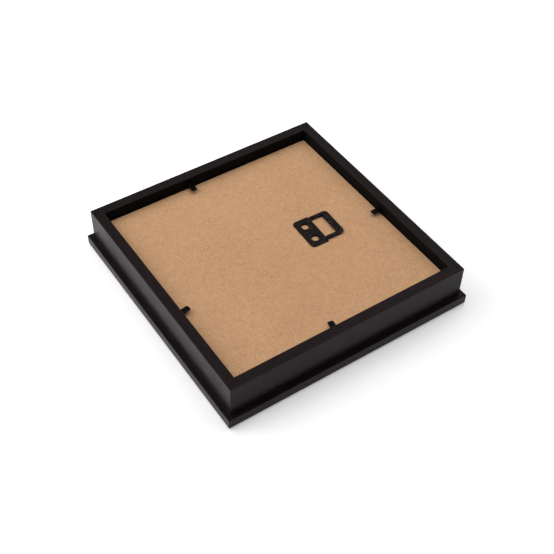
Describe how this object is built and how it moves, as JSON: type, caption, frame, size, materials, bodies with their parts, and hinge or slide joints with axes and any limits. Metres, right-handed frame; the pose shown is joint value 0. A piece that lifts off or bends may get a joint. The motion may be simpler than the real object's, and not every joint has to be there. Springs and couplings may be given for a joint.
{
  "type": "shadow box",
  "caption": "Square black shadow box lying face down: mitred stepped rails, glass front, deep display space and a fibreboard back under bendable tabs, with a sawtooth hanger.",
  "frame": {"origin": "centre of the square front face, which the box lies on", "axes": "+Z out of the back, +X towards the top rail when hung, so +Y is to the right seen from the front"},
  "size_m": [0.26, 0.26, 0.046],
  "materials": {
    "black_foil": "black foil over moulded fibreboard, satin",
    "fibreboard": "raw tan fibreboard, matte, fine fibres",
    "black_steel": "black oxide, satin",
    "tab_steel": "black coated spring strip, satin",
    "nail_steel": "blued steel, dull",
    "clear_glass": "clear, polished",
    "spacer_board": "white lined board, matte",
    "display_paper": "off-white laid paper, matte"
  },
  "bodies": {
    "frame": {"rail_top": "black_foil", "rail_right": "black_foil", "rail_bottom": "black_foil", "rail_left": "black_foil", "corner_nail_top_right": "nail_steel", "corner_nail_bottom_right": "nail_steel", "corner_nail_bottom_left": "nail_steel", "corner_nail_top_left": "nail_steel", "glass_pane": "clear_glass", "spacer_top": "spacer_board", "spacer_right": "spacer_board", "spacer_bottom": "spacer_board", "spacer_left": "spacer_board"},
    "back_panel": {"backboard": "fibreboard", "display_card": "display_paper", "sawtooth_hanger": "black_steel"},
    "tab_top": {"flex_tab_top": "tab_steel"},
    "tab_right": {"flex_tab_right": "tab_steel"},
    "tab_bottom": {"flex_tab_bottom": "tab_steel"},
    "tab_left": {"flex_tab_left": "tab_steel"}
  },
  "joints": [
    {"name": "tab_top_bend", "type": "hinge", "parent": "frame", "child": "tab_top", "pos_m": [0.11455, -0.0149, 0.038], "axis": [0, 1, 0], "range_deg": [-18, 88], "deforming": ["flex_tab_top"]},
    {"name": "tab_right_bend", "type": "hinge", "parent": "frame", "child": "tab_right", "pos_m": [-0.0222, 0.11455, 0.038], "axis": [-1, 0, 0], "range_deg": [-18, 88], "deforming": ["flex_tab_right"]},
    {"name": "tab_bottom_bend", "type": "hinge", "parent": "frame", "child": "tab_bottom", "pos_m": [-0.11455, -0.0253, 0.038], "axis": [0, -1, 0], "range_deg": [-18, 88], "deforming": ["flex_tab_bottom"]},
    {"name": "tab_left_bend", "type": "hinge", "parent": "frame", "child": "tab_left", "pos_m": [-0.01135, -0.11455, 0.038], "axis": [1, 0, 0], "range_deg": [-18, 88], "deforming": ["flex_tab_left"]},
    {"name": "back_lift", "type": "slide", "parent": "frame", "child": "back_panel", "axis": [0, 0, 1], "range_m": [0, 0.08]}
  ]
}
